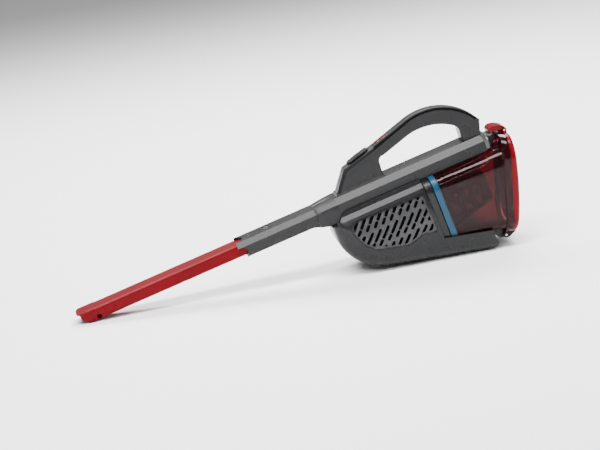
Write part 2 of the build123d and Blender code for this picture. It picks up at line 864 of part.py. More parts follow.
# ---- filter unit --------------------------------------------------------------------------------
duct_outer_width = duct_width + 2 * duct_wall
duct_outer_height = duct_height + 2 * duct_wall
with BuildPart() as filter_frame:
    loft([ring_section(ring_front, 0), ring_section(bowl_front - 0.1, 0)], ruled=True)
    chamfer(filter_frame.faces().sort_by(Axis.X)[0].outer_wire().edges(), 0.8)
    with BuildSketch(Plane.YZ.offset(ring_front - 1)):
        with Locations((0, duct_z)):
            RectangleRounded(duct_outer_width + 0.2, duct_outer_height + 0.2, 2)
        with Locations((0, filter_z)):
            RectangleRounded(filter_width, filter_height, filter_corner)
    extrude(amount=12, mode=Mode.SUBTRACT)
keep(filter_frame.part, "filter_frame")

pleat_step = 3.5
pleat_count = 14
pleat_half = 33.0
pleat_front = 287.5
pleat_rear = 303.0
with BuildPart() as filter_pleats:
    with BuildSketch(Plane.XZ):
        pleat_top = filter_z + pleat_count * pleat_step / 2
        folds = [
            (pleat_front if i % 2 else pleat_rear, pleat_top - pleat_step * i)
            for i in range(pleat_count + 1)
        ]
        with BuildLine():
            Polyline(*folds)
        trace(line_width=1.0)
    extrude(amount=pleat_half, both=True)
keep(filter_pleats.part, "filter_pleats")

cup_rear = 362.0
cup_wall = 1.6


def cup_sections(inset):
    """Sections of the pre-filter cup, tapering rearwards."""
    with BuildSketch(Plane.YZ.offset(bowl_front + 0.1)) as first:
        with Locations((0, -61)):
            RectangleRounded(84 - 2 * inset, 62 - 2 * inset, 14 - inset)
    with BuildSketch(Plane.YZ.offset(cup_rear - inset)) as last:
        with Locations((0, -55)):
            RectangleRounded(70 - 2 * inset, 46 - 2 * inset, 12 - inset)
    return [first.sketch, last.sketch]


with BuildPart() as prefilter_cup:
    loft(cup_sections(0), ruled=True)
    fillet(prefilter_cup.faces().sort_by(Axis.X)[-1].edges(), 5)
    loft(cup_sections(cup_wall), ruled=True, mode=Mode.SUBTRACT)
    # windows in the sides, in the floor and in the rear wall
    with BuildSketch(Plane.XZ):
        for x in (302, 320, 338):
            with Locations((x + 5, -58)):
                RectangleRounded(12, 30, 2.5)
    extrude(amount=60, both=True, mode=Mode.SUBTRACT)
    with BuildSketch(Plane.XY.offset(-60)):
        for x in (302, 320, 338):
            with Locations((x + 5, 0)):
                RectangleRounded(12, 44, 2.5)
    extrude(amount=-60, mode=Mode.SUBTRACT)
    with BuildSketch(Plane.YZ.offset(cup_rear - 8)):
        with GridLocations(18, 16, 3, 2):
            with Locations((0, -55)):
                RectangleRounded(13, 11, 2.5)
    extrude(amount=20, mode=Mode.SUBTRACT)
keep(prefilter_cup.part, "prefilter_cup")

# ---- bowl's inlet duct and its flap -------------------------------------------------------------
duct_front = 283.2
duct_rear = 362.0
pin_x = duct_rear + 2.9
pin_z = duct_z + duct_half_height - 0.6
flap_pin_radius = 0.8
with BuildPart() as inlet_duct:
    with BuildSketch(Plane.YZ.offset(duct_front)):
        with Locations((0, duct_z)):
            RectangleRounded(duct_outer_width, duct_outer_height, 2)
            RectangleRounded(duct_width, duct_height, 1, mode=Mode.SUBTRACT)
    extrude(amount=duct_rear - duct_front)
    # ears that carry the flap's pin
    with BuildSketch(Plane.XZ):
        with Locations((duct_rear + 2, pin_z)):
            Rectangle(5.6, 3.2)
        with Locations((pin_x, pin_z)):
            Circle(flap_pin_radius + 0.05, mode=Mode.SUBTRACT)
    ears = extrude(amount=duct_half + duct_wall, both=True, mode=Mode.PRIVATE)
    with Locations((duct_rear, 0, duct_z)):
        hollow_block = Box(20, 2 * duct_half + 0.4, 60, mode=Mode.PRIVATE)
    add(ears - hollow_block)
keep(inlet_duct.part, "inlet_duct")

with BuildPart() as flap_pin:
    with BuildSketch(Plane.XZ):
        with Locations((pin_x, pin_z)):
            Circle(flap_pin_radius)
    extrude(amount=duct_half + duct_wall, both=True)
keep(flap_pin.part, "flap_pin")

with BuildPart() as inlet_flap:
    with BuildSketch(Plane.XZ):
        with BuildLine():
            Polyline(
                (duct_rear + 0.3, pin_z + 0.4),
                (pin_x, pin_z + 0.4),
                (pin_x, pin_z - 1.2),
                (duct_rear + 2.0, pin_z - 1.6),
                (duct_rear + 2.0, duct_z - duct_half_height - 1.2),
                (duct_rear + 0.3, duct_z - duct_half_height - 1.2),
                close=True,
            )
        make_face()
        with Locations((pin_x, pin_z)):
            Circle(1.5)
            Circle(flap_pin_radius + 0.05, mode=Mode.SUBTRACT)
    extrude(amount=duct_half - 0.2, both=True)
keep(inlet_flap.part, "inlet_flap")

# ---- dust bowl ----------------------------------------------------------------------------------
ledge_inset = 3.0
flange_front = -1.5
flange_rear = 0.7
ramp_half = 24.0


def rim_polygon(points):
    """Side outline given in the rim's own (u, v)."""
    with BuildSketch(Plane.XZ) as outline:
        with BuildLine():
            Polyline(*[rim_point(u, v) for u, v in points], close=True)
        make_face()
    return outline.sketch


groove_depth = 1.4
with BuildPart() as groove:
    loft(bowl_sections(-1.0, bowl_front - 1, 0.0), ruled=True)
    loft(bowl_sections(groove_depth, bowl_front - 2, 1.0), ruled=True, mode=Mode.SUBTRACT)
    with BuildSketch(Plane.XZ):
        with Locations((322, -16)):
            SlotOverall(100, 9)
    extrude(amount=60, both=True, mode=Mode.INTERSECT)
    Box(1000, 60, 1000, mode=Mode.SUBTRACT)

with BuildPart() as dust_bowl:
    loft(bowl_sections(0, bowl_front, 0.0), ruled=True)
    extrude(rim_outline(flange_front, 0), amount=collar_depth - flange_front)
    with BuildSketch(Plane.XZ):
        with BuildLine():
            ramp_top = rim_point(0, flange_front)
            Polyline((388.4, bowl_top - 1), (388.4, -8.0), ramp_top, (402, bowl_top - 1), close=True)
        make_face()
    extrude(amount=ramp_half, both=True)
    loft(bowl_sections(bowl_wall, bowl_front - 1, flange_rear + 1), ruled=True, mode=Mode.SUBTRACT)
    extrude(rim_outline(flange_rear, ledge_inset), amount=20, mode=Mode.SUBTRACT)
    add(groove.part, mode=Mode.SUBTRACT)
keep(dust_bowl.part, "dust_bowl")

with BuildPart() as door_catch:
    with BuildSketch(Plane.XZ):
        with BuildLine():
            Polyline((389.2, -9), (389.2, 9.2), (394.4, 9.2), (399.0, 6.0), (399.0, -9), close=True)
        make_face()
    extrude(amount=14, both=True)
    chamfer(door_catch.faces().sort_by(Axis.Z)[-1].edges().filter_by(Axis.X), 1.5)
    with BuildSketch(Plane.XZ):
        with BuildLine():
            Polyline((380, -20), (380, -15.9), rim_point(0.02, flange_front), (402, -20), close=True)
        make_face()
    extrude(amount=ramp_half, both=True, mode=Mode.SUBTRACT)
keep(door_catch.part, "door_catch")

# ---- bowl release at the spine's rear end -------------------------------------------------------
release_top = 13.2
release_bottom = -6.0
with BuildPart() as bowl_release:
    cap_x = spine_rear + 0.4
    cap = facet_section(cap_x, spine_half - 0.4, spine_flat_half, release_top, spine_bevel_z, release_bottom)
    extrude(cap, amount=8.2)
    rear_edges = bowl_release.faces().sort_by(Axis.X)[-1].edges()
    fillet(rear_edges.filter_by(lambda edge: edge.center().Z > release_bottom + 1), 3.6)
    with BuildSketch(Plane.YZ.offset(spine_rear - 9)):
        with Locations((0, 2.5)):
            Rectangle(13, 5)
    extrude(amount=10)
    with BuildSketch(Plane.XY.offset(-2)):
        with Locations((spine_rear - 5.5, 0)):
            Circle(1.2)
    extrude(amount=3)
keep(bowl_release.part, "bowl_release")

with BuildPart() as bowl_release_spring:
    with BuildLine():
        turns = Helix(pitch=1.45, height=4.9, radius=2.2, center=(spine_rear - 5.5, 0, spine_floor + 2.6))
    with BuildSketch(Plane(origin=turns @ 0, z_dir=turns % 0)):
        Circle(0.3)
    sweep()
keep(bowl_release_spring.part, "bowl_release_spring")

# ---- rear door ----------------------------------------------------------------------------------
door_front = 9.1
door_wall = 2.4
crown_radius = 540.0
crown_top = 21.7
hinge_u = 144.5
hinge_v = 2.0
hinge_radius = 1.5
latch_u = -7.6
latch_v = 11.0
latch_pin_radius = 1.25
knuckle_points = [
    (148.2, 2.0),
    (147.6, 6.5),
    (139.5, 16.5),
    (137.6, 16.5),
    (137.6, 9.6),
    (140.8, 9.6),
    (140.8, 2.0),
]
knuckle_inner = 22.6
knuckle_length = 5.4
ear_points = [(-10.8, 9.4), (-10.8, 13.4), (-8.8, 14.6), (-2.5, 14.6), (-2.5, 9.4)]
ear_inner = 12.5
ear_length = 3.5
with BuildPart() as bowl_door:
    extrude(rim_outline(door_front, 0), amount=door_depth)
    crown_x, crown_z = rim_point(67.5, crown_top - crown_radius)
    with Locations((crown_x, 0, crown_z)):
        Sphere(crown_radius, rotation=(0, 0, 180), mode=Mode.INTERSECT)
    outward = Axis(rim_plane(0).origin, rim_plane(0).z_dir)
    fillet(bowl_door.faces().sort_by(outward)[-1].edges(), 6.0)
    extrude(rim_outline(door_front, door_wall), amount=7.5, mode=Mode.SUBTRACT)
    # hinge knuckles low on both sides of the hinge block
    for side in (-1, 1):
        with BuildSketch(Plane.XZ.offset(side * knuckle_inner)):
            add(rim_polygon(knuckle_points))
            with Locations(rim_point(hinge_u, hinge_v)):
                Circle(3.9)
                Circle(hinge_radius + 0.05, mode=Mode.SUBTRACT)
        extrude(amount=side * knuckle_length)
    # ears that carry the latch pin
    for side in (-1, 1):
        with BuildSketch(Plane.XZ.offset(side * ear_inner)):
            add(rim_polygon(ear_points))
            with Locations(rim_point(latch_u, latch_v)):
                Circle(latch_pin_radius + 0.05, mode=Mode.SUBTRACT)
        extrude(amount=side * ear_length)
keep(bowl_door.part, "bowl_door")

with BuildPart() as door_seal:
    extrude(rim_outline(door_front - 0.1, door_wall + 0.15), amount=1.6)
    extrude(rim_outline(door_front - 1, door_wall + 2.2), amount=5, mode=Mode.SUBTRACT)
keep(door_seal.part, "door_seal")

block_points = [(134.4, -14), (134.0, -1.9), (139.2, -1.9), (139.2, 7), (149, 7), (149, -6), (143, -14)]
block_half = 22.0
with BuildPart() as hinge_block:
    extrude(rim_polygon(block_points), amount=block_half, both=True)
    chamfer(hinge_block.edges().filter_by(Axis.Y).sort_by(Axis.Z)[0], 1.5)
    with BuildSketch(Plane.XZ):
        with Locations(rim_point(hinge_u, hinge_v)):
            Circle(hinge_radius + 0.05)
    extrude(amount=block_half + 1, both=True, mode=Mode.SUBTRACT)
keep(hinge_block.part, "hinge_block")

with BuildPart() as hinge_pin:
    with BuildSketch(Plane.XZ):
        with Locations(rim_point(hinge_u, hinge_v)):
            Circle(hinge_radius)
    extrude(amount=28, both=True)
keep(hinge_pin.part, "hinge_pin")

latch_half = 12.0
spring_pocket_half = 3.2
latch_points = [
    (-7.4, -7.2),
    (-7.0, -7.6),
    (-4.2, -8.4),
    (-4.2, -10.4),
    (-8.6, -11.4),
    (-11.6, -10.2),
    (-13.8, -7.0),
    (-14.8, -2.5),
    (-14.6, 3.0),
    (-13.6, 8.0),
    (-12.2, 12.0),
    (-10.2, 14.4),
    (-7.8, 14.6),
    (-7.4, 12.5),
    (-7.4, 8.0),
]
with BuildPart() as door_latch:
    extrude(rim_polygon(latch_points), amount=latch_half, both=True)
    with BuildSketch(Plane.XZ):
        with Locations(rim_point(latch_u, latch_v)):
            Circle(2.8)
    extrude(amount=latch_half, both=True)
    # pocket of the latch spring round the pin
    with BuildSketch(Plane.XZ):
        with Locations(rim_point(latch_u, latch_v)):
            Circle(3.2)
    extrude(amount=spring_pocket_half, both=True, mode=Mode.SUBTRACT)
    with BuildSketch(Plane.XZ):
        with Locations(rim_point(latch_u, latch_v)):
            Circle(latch_pin_radius + 0.05)
    extrude(amount=20, both=True, mode=Mode.SUBTRACT)
keep(door_latch.part, "door_latch")

with BuildPart() as latch_pin:
    with BuildSketch(Plane.XZ):
        with Locations(rim_point(latch_u, latch_v)):
            Circle(latch_pin_radius)
    extrude(amount=16, both=True)
keep(latch_pin.part, "latch_pin")

coil_height = 5.7
with BuildPart() as latch_spring:
    latch_x, latch_z = rim_point(latch_u, latch_v)
    start = (latch_x, -coil_height / 2, latch_z)
    with BuildLine():
        coils = Helix(pitch=0.95, height=coil_height, radius=2.1, center=start, direction=(0, 1, 0))
    with BuildSketch(Plane(origin=coils @ 0, z_dir=coils % 0)):
        Circle(0.35)
    sweep()
keep(latch_spring.part, "latch_spring")

# ---- motor and fan ------------------------------------------------------------------------------
motor_front = 168.0
motor_rear = 226.0
bracket_front = 228.0
bracket_thick = 3.0
shroud_rear = 266.0
shroud_radius = 32.0
shroud_wall = 1.6
impeller_front = 242.0
impeller_rear = 258.0
inlet_radius = 18.0


def disc_at(x, radius, length):
    """Disc about the motor's axis, from x rearwards."""
    with BuildSketch(Plane.YZ.offset(x)) as disc:
        with Locations((0, motor_z)):
            Circle(radius)
    return extrude(disc.sketch, amount=length, mode=Mode.PRIVATE)


with BuildPart() as motor_can:
    add(disc_at(motor_front, motor_radius, motor_rear - motor_front))
    chamfer(motor_can.edges().filter_by(GeomType.CIRCLE), 1.5)
    add(disc_at(motor_rear - 0.5, 8, bracket_front - motor_rear + bracket_thick - 0.1))
    add(disc_at(motor_front - 6, 9, 6.5))
    add(disc_at(motor_front - 10, shaft_radius + 0.05, 90), mode=Mode.SUBTRACT)
    with BuildSketch(Plane.YZ.offset(motor_front - 1)):
        with Locations((0, motor_z)):
            with PolarLocations(14.5, 6):
                RectangleRounded(7, 4, 1.2)
    extrude(amount=4, mode=Mode.SUBTRACT)
    with Locations((motor_front - 2, -12, motor_z), (motor_front - 2, 12, motor_z)):
        Box(8, 1, 5)
keep(motor_can.part, "motor_can")

with BuildPart() as motor_shaft:
    add(disc_at(motor_front - 8, shaft_radius, impeller_rear + 2 - motor_front + 8))
keep(motor_shaft.part, "motor_shaft")

with BuildPart() as impeller:
    add(disc_at(impeller_front, fan_radius, 1.8))
    add(disc_at(impeller_front, 7, impeller_rear - impeller_front))
    with BuildSketch(Plane.YZ.offset(impeller_front + 1.8)):
        with Locations((0, motor_z)):
            with PolarLocations(16.8, 9):
                Rectangle(21.6, 1.4, rotation=22)
    extrude(amount=impeller_rear - impeller_front - 2.8)
    add(disc_at(impeller_front - 1, shaft_radius, 40), mode=Mode.SUBTRACT)
keep(impeller.part, "impeller")

bracket_foot = pod_solid(shell + 0.08)
bracket_foot_top = -88.0
with BuildPart() as motor_bracket:
    add(bracket_foot)
    with Locations((bracket_front + bracket_thick / 2, 0, bracket_foot_top - 20)):
        Box(bracket_thick, 120, 40, mode=Mode.INTERSECT)
    with BuildSketch(Plane.YZ.offset(bracket_front)):
        with Locations((0, -55)):
            RectangleRounded(70, 72, 14)
    extrude(amount=bracket_thick)
    add(disc_at(bracket_front - 1, 8.1, 10), mode=Mode.SUBTRACT)
    with BuildSketch(Plane.YZ.offset(bracket_front - 1)):
        with Locations((0, motor_z)):
            with PolarLocations(21, 6):
                RectangleRounded(12, 9, 2.5)
    extrude(amount=bracket_thick + 2, mode=Mode.SUBTRACT)
keep(motor_bracket.part, "motor_bracket")

with BuildPart() as fan_shroud:
    shroud_front = bracket_front + bracket_thick + 0.1
    hollow_rear = shroud_rear - shroud_wall
    add(disc_at(shroud_front, shroud_radius, shroud_rear - shroud_front))
    chamfer(fan_shroud.edges().filter_by(GeomType.CIRCLE).sort_by(Axis.X)[-1], 3)
    hollow = disc_at(shroud_front - 1, shroud_radius - shroud_wall, hollow_rear - shroud_front + 1)
    add(hollow, mode=Mode.SUBTRACT)
    add(disc_at(shroud_rear - 4, inlet_radius + 1.5, 7.3))
    add(disc_at(shroud_rear - 4.6, inlet_radius, 10), mode=Mode.SUBTRACT)
    with BuildSketch(Plane.XZ):
        with Locations((shroud_front + 5, motor_z)):
            RectangleRounded(7, 24, 2)
    extrude(amount=60, both=True, mode=Mode.SUBTRACT)
keep(fan_shroud.part, "fan_shroud")

# ---- battery pack -------------------------------------------------------------------------------
pack_x = 286.2
pack_z = (bowl_z(pack_x) + belly_z(pack_x)) / 2 - 0.2
pack = Plane(
    origin=(pack_x, 0, pack_z),
    x_dir=(cos(radians(belly_angle)), 0, -sin(radians(belly_angle))),
    z_dir=(0, -1, 0),
)
cell_places = [(cell_pitch * (i - (cell_count - 1) / 2), 0) for i in range(cell_count)]
cell_half = cell_length / 2
with BuildPart() as battery_cells:
    with BuildSketch(pack):
        with Locations(*cell_places):
            Circle(cell_radius)
    extrude(amount=cell_half - 1, both=True)
    chamfer(battery_cells.edges().filter_by(GeomType.CIRCLE), 0.8)
    with BuildSketch(pack):
        with Locations(*cell_places):
            Circle(3)
    extrude(amount=cell_half, both=True)
keep(battery_cells.part, "battery_cells")

strap_thick = 0.3
with BuildPart() as cell_straps:
    for side, centres in ((1, (-cell_pitch, cell_pitch)), (-1, (0,))):
        with BuildSketch(pack.offset(side * (cell_half + 0.02))):
            with Locations(*[(x, 0) for x in centres]):
                Rectangle(cell_pitch + 6, 7)
        extrude(amount=side * strap_thick)
    with BuildSketch(pack.offset(-cell_half - 0.02)):
        with Locations(cell_places[0], cell_places[-1]):
            Rectangle(7, 7)
    extrude(amount=-strap_thick)
keep(cell_straps.part, "cell_straps")

with BuildPart() as battery_holder:
    for side in (1, -1):
        with BuildSketch(pack.offset(side * (cell_half + 0.5))):
            RectangleRounded(cell_pitch * cell_count - 1, 17.6, 4)
        extrude(amount=side * 2)
    rod_places = [(cell_pitch * i, z) for i in (-1, 0, 1) for z in (-7.0, 7.0)]
    with BuildSketch(pack):
        with Locations(*rod_places):
            Circle(1.5)
    extrude(amount=cell_half + 1, both=True)
keep(battery_holder.part, "battery_holder")

# ---- control board ------------------------------------------------------------------------------
board_length = 46.0
board_width = 58.0
board = Plane(
    origin=(199, 0, -95.4),
    x_dir=(cos(radians(belly_angle)), 0, -sin(radians(belly_angle))),
    z_dir=(sin(radians(belly_angle)), 0, cos(radians(belly_angle))),
)
with BuildPart() as circuit_board:
    with BuildSketch(board):
        Rectangle(board_length, board_width)
        with GridLocations(board_length - 7, board_width - 7, 2, 2):
            Circle(1.6, mode=Mode.SUBTRACT)
    extrude(amount=1.6)
    with BuildSketch(board.offset(1.6)):
        with Locations((-6, 12)):
            Rectangle(9, 9)
        with Locations((10, 14), (10, 20), (-8, -2), (2, -2)):
            Rectangle(4.4, 3)
    extrude(amount=1.4)
    with BuildSketch(board.offset(1.6)):
        with Locations((14, -20), (4, -20)):
            Circle(3.6)
    extrude(amount=6)
    with BuildSketch(board.offset(1.6)):
        with Locations((-16, -18), (-16, 20)):
            Rectangle(6, 9)
    extrude(amount=5)
keep(circuit_board.part, "circuit_board")

# ---- charging socket and feet -------------------------------------------------------------------
socket_mouth = pod_half + socket_flange
with BuildPart() as charge_socket:
    with BuildSketch(Plane.XZ.offset(-pod_half)):
        with Locations((socket_x, socket_z)):
            Circle(socket_radius)
    extrude(amount=socket_depth + 2)
    with BuildSketch(Plane.XZ.offset(-socket_mouth)):
        with Locations((socket_x, socket_z)):
            Circle(socket_radius + 1)
    extrude(amount=socket_flange)
    with BuildSketch(Plane.XZ.offset(-socket_mouth)):
        with Locations((socket_x, socket_z)):
            Circle(socket_bore)
    extrude(amount=socket_depth, mode=Mode.SUBTRACT)
keep(charge_socket.part, "charge_socket")

foot_x = 315.0
foot_half = 28.0
foot_radius = 6.0
foot_drop = 1.5
lip_z = -(tool_height + 1.2) / 2
lip_x = -233.66
foot_z = belly_z(foot_x) - foot_drop
stand_angle = degrees(atan2(lip_z - foot_z, foot_x - lip_x))
with BuildPart() as rear_feet:
    for side in (-1, 1):
        ground = Plane(
            origin=(foot_x, side * foot_half, foot_z),
            z_dir=(sin(radians(stand_angle)), 0, cos(radians(stand_angle))),
        )
        with BuildSketch(ground):
            Circle(foot_radius)
        extrude(amount=5)
    chamfer(rear_feet.edges().filter_by(GeomType.CIRCLE).group_by(Axis.Z)[0], 0.6)
    add(pod_outer, mode=Mode.SUBTRACT)
keep(rear_feet.part, "rear_feet")

# ---- stand the assembly on its lip and feet -----------------------------------------------------
turned = [piece.rotate(Axis.Y, -stand_angle) for piece in pieces]
boxes = [piece.bounding_box() for piece in turned]
shift = Vector(
    -(min(box.min.X for box in boxes) + max(box.max.X for box in boxes)) / 2,
    -(min(box.min.Y for box in boxes) + max(box.max.Y for box in boxes)) / 2,
    -min(box.min.Z for box in boxes),
)
for piece, blank in zip(turned, pieces):
    placed = piece.moved(Location(shift))
    placed.label = blank.label
    export_step(placed, f"parts/{blank.label}.step")
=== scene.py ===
"""Looks of the cordless hand vacuum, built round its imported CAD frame."""
import math

import bpy
from mathutils import Matrix, Vector


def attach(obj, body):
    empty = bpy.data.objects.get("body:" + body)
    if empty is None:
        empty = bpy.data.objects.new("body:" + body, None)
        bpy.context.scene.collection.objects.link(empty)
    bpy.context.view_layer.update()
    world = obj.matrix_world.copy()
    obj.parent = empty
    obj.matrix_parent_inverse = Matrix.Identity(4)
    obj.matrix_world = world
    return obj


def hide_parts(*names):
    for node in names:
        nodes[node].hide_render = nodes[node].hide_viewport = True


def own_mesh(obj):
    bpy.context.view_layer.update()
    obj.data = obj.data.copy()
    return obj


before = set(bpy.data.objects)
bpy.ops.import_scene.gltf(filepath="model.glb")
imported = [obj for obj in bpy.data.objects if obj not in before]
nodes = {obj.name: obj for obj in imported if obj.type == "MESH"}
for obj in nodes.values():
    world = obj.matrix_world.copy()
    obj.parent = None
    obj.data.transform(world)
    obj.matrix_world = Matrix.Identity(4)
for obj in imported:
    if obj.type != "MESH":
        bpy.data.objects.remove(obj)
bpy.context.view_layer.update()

TILT = math.radians(13.224)      # the tool's axis above the surface the vacuum stands on
SHIFT_X, SHIFT_Z = -80.783, 62.604      # millimetres, from the tool's own frame to the row frame

BLACK = (0.004, 0.004, 0.0045)
DARK_EDGE = 0.0003      # half the height over which a piece turns black, metres
SMUDGE = 0.006      # how much smoother handled places are


# ---- material helpers ---------------------------------------------------------------------------
def new_material(name):
    """Empty node material with its principled shader and output."""
    material = bpy.data.materials.new(name)
    material.use_nodes = True
    tree = material.node_tree
    tree.nodes.clear()
    output = tree.nodes.new("ShaderNodeOutputMaterial")
    shader = tree.nodes.new("ShaderNodeBsdfPrincipled")
    tree.links.new(shader.outputs["BSDF"], output.inputs["Surface"])
    return material, tree, shader


def noise(tree, scale, detail=4.0, roughness=0.6, stretch=(1, 1, 1)):
    """Noise over the object's own coordinates."""
    coords = tree.nodes.new("ShaderNodeTexCoord")
    mapping = tree.nodes.new("ShaderNodeMapping")
    mapping.inputs["Scale"].default_value = stretch
    texture = tree.nodes.new("ShaderNodeTexNoise")
    texture.inputs["Scale"].default_value = scale
    texture.inputs["Detail"].default_value = detail
    texture.inputs["Roughness"].default_value = roughness
    tree.links.new(coords.outputs["Object"], mapping.inputs["Vector"])
    tree.links.new(mapping.outputs["Vector"], texture.inputs["Vector"])
    return texture.outputs["Fac"]


def remap(tree, value, low, high, from_low=0.3, from_high=0.7):
    """Maps a noise value to a range."""
    node = tree.nodes.new("ShaderNodeMapRange")
    node.inputs["From Min"].default_value = from_low
    node.inputs["From Max"].default_value = from_high
    node.inputs["To Min"].default_value = low
    node.inputs["To Max"].default_value = high
    tree.links.new(value, node.inputs["Value"])
    return node.outputs["Result"]


def blend_colors(tree, factor, first, second):
    """Mixes two plain colours by a factor."""
    node = tree.nodes.new("ShaderNodeMix")
    node.data_type = "RGBA"
    node.inputs["A"].default_value = (*first, 1)
    node.inputs["B"].default_value = (*second, 1)
    tree.links.new(factor, node.inputs["Factor"])
    return node.outputs["Result"]


def moulded(name, color, rough=0.42, grain=1600.0, relief=0.12, coat=0.0, spread=0.06, specular=0.3,
            dark_below=None):
    """Moulded plastic with a fine grain, a cloudy tone and faint handling smudges.

    dark_below is a height in metres under which the piece is black instead.
    """
    material, tree, shader = new_material(name)
    cloud = noise(tree, 26.0, 2.0, 0.5)
    fine = noise(tree, grain, 2.0, 0.5)
    smudge = noise(tree, 30.0, 3.0, 0.5)
    darker = [c * (1 - spread) for c in color]
    lighter = [c * (1 + spread) for c in color]
    base = blend_colors(tree, remap(tree, cloud, 0, 1), darker, lighter)
    if dark_below:
        coords = tree.nodes.new("ShaderNodeTexCoord")
        split = tree.nodes.new("ShaderNodeSeparateXYZ")
        tree.links.new(coords.outputs["Object"], split.inputs["Vector"])
        step = remap(tree, split.outputs["Z"], 0.0, 1.0, dark_below - DARK_EDGE, dark_below + DARK_EDGE)
        lower = tree.nodes.new("ShaderNodeMix")
        lower.data_type = "RGBA"
        lower.inputs["A"].default_value = (*BLACK, 1)
        tree.links.new(step, lower.inputs["Factor"])
        tree.links.new(base, lower.inputs["B"])
        base = lower.outputs["Result"]
    tree.links.new(base, shader.inputs["Base Color"])
    sheen = remap(tree, smudge, rough - SMUDGE, rough + 2 * SMUDGE)
    tree.links.new(sheen, shader.inputs["Roughness"])
    shader.inputs["Specular IOR Level"].default_value = specular
    shader.inputs["Coat Weight"].default_value = coat
    shader.inputs["Coat Roughness"].default_value = 0.1
    bump = tree.nodes.new("ShaderNodeBump")
    bump.inputs["Strength"].default_value = relief
    bump.inputs["Distance"].default_value = 0.00012
    tree.links.new(fine, bump.inputs["Height"])
    tree.links.new(bump.outputs["Normal"], shader.inputs["Normal"])
    return material


def metal(name, color, rough=0.28, brush=(1, 1, 1), scale=900.0):
    """Drawn or turned metal with fine lines along one direction and cloudy oxidation."""
    material, tree, shader = new_material(name)
    lines = noise(tree, scale, 2.0, 0.5, brush)
    cloud = noise(tree, 120.0, 5.0)
    dark = [c * 0.72 for c in color]
    tone = blend_colors(tree, remap(tree, cloud, 0, 1), dark, color)
    tree.links.new(tone, shader.inputs["Base Color"])
    tree.links.new(remap(tree, lines, rough - 0.08, rough + 0.14), shader.inputs["Roughness"])
    shader.inputs["Metallic"].default_value = 1.0
    bump = tree.nodes.new("ShaderNodeBump")
    bump.inputs["Strength"].default_value = 0.1
    bump.inputs["Distance"].default_value = 0.00005
    tree.links.new(lines, bump.inputs["Height"])
    tree.links.new(bump.outputs["Normal"], shader.inputs["Normal"])
    return material


def clear_plastic(name, color, rough=0.05, transmission=0.97, index=1.2, coat=0.3):
    """Tinted transparent plastic with faint dust and hairline scratches."""
    material, tree, shader = new_material(name)
    dust = noise(tree, 420.0, 6.0, 0.75)
    scratch = noise(tree, 500.0, 2.0, 0.5, (0.12, 1.0, 1.6))
    shader.inputs["Base Color"].default_value = (*color, 1)
    shader.inputs["IOR"].default_value = index
    shader.inputs["Coat Weight"].default_value = coat
    shader.inputs["Coat Roughness"].default_value = 0.06
    clearness = remap(tree, dust, transmission, transmission - 0.06, 0.5, 0.8)
    tree.links.new(clearness, shader.inputs["Transmission Weight"])
    haze = remap(tree, scratch, rough, rough + 0.09, 0.52, 0.75)
    tree.links.new(haze, shader.inputs["Roughness"])
    bump = tree.nodes.new("ShaderNodeBump")
    bump.inputs["Strength"].default_value = 0.04
    bump.inputs["Distance"].default_value = 0.00006
    tree.links.new(scratch, bump.inputs["Height"])
    tree.links.new(bump.outputs["Normal"], shader.inputs["Normal"])
    return material


def paper(name, color):
    """Fibrous filter fleece."""
    material, tree, shader = new_material(name)
    fibres = noise(tree, 900.0, 8.0, 0.8, (1, 3, 1))
    shaded = [c * 0.8 for c in color]
    tone = blend_colors(tree, remap(tree, fibres, 0, 1), shaded, color)
    tree.links.new(tone, shader.inputs["Base Color"])
    shader.inputs["Roughness"].default_value = 0.95
    shader.inputs["Sheen Weight"].default_value = 0.4
    bump = tree.nodes.new("ShaderNodeBump")
    bump.inputs["Strength"].default_value = 0.5
    bump.inputs["Distance"].default_value = 0.0003
    tree.links.new(fibres, bump.inputs["Height"])
    tree.links.new(bump.outputs["Normal"], shader.inputs["Normal"])
    return material


# ---- finishes -----------------------------------------------------------------------------------
shell_grey = moulded("shell grey", (0.0135, 0.0135, 0.0145), 0.27, relief=0.08, specular=0.19)
grille_grey = moulded("grille grey", (0.040, 0.040, 0.042), 0.34, relief=0.08)
button_grey = moulded("button grey", (0.03, 0.03, 0.032), 0.12, relief=0.02, coat=0.6)
tool_red = moulded("tool red", (0.125, 0.0004, 0.0042), 0.32, relief=0.05, specular=0.07)
door_red = moulded("door red", (0.125, 0.0003, 0.0040), 0.16, relief=0.012, coat=0.10, spread=0.05,
                   specular=0.07, dark_below=0.0165)
soft_black = moulded("soft black", (0.0022, 0.0022, 0.0025), 0.5, grain=1100.0, relief=0.3,
                     specular=0.1)
black_plastic = moulded("black plastic", BLACK, 0.34)
black_rubber = moulded("black rubber", (0.004, 0.004, 0.004), 0.74, grain=700.0, relief=0.3,
                       specular=0.2)
filter_blue = moulded("filter blue", (0.003, 0.044, 0.085), 0.34)
cup_dark = moulded("cup dark", (0.045, 0.032, 0.032), 0.45)
mesh_grey = moulded("mesh grey", (0.16, 0.12, 0.12), 0.5)
# near-black finish for the sheets behind the grilles: painted shade, so the grille slots read dark
shade_sheet_black = moulded("shade sheet black", (0.0012, 0.0012, 0.0013), 0.95, grain=900.0, relief=0.8,
                     specular=0.05)
duct_grey = moulded("duct grey", (0.03, 0.03, 0.032), 0.38)
fan_plastic = moulded("fan plastic", BLACK, 0.5)
cell_wrap = moulded("cell wrap", (0.008, 0.045, 0.09), 0.25, relief=0.03, coat=0.4)
board_green = moulded("board green", (0.004, 0.035, 0.014), 0.3, coat=0.5)
holder_natural = moulded("holder natural", (0.25, 0.24, 0.21), 0.5)
steel = metal("steel", (0.58, 0.58, 0.59))
motor_steel = metal("motor steel", (0.10, 0.10, 0.105), 0.4, (1, 8, 8), 300.0)
nickel = metal("nickel", (0.70, 0.68, 0.63), 0.22)
smoke_red = clear_plastic("smoky red", (0.150, 0.021, 0.028), coat=0.12)
lens_red = clear_plastic("lens red", (0.16, 0.008, 0.014), 0.1, transmission=0.5, index=1.45)
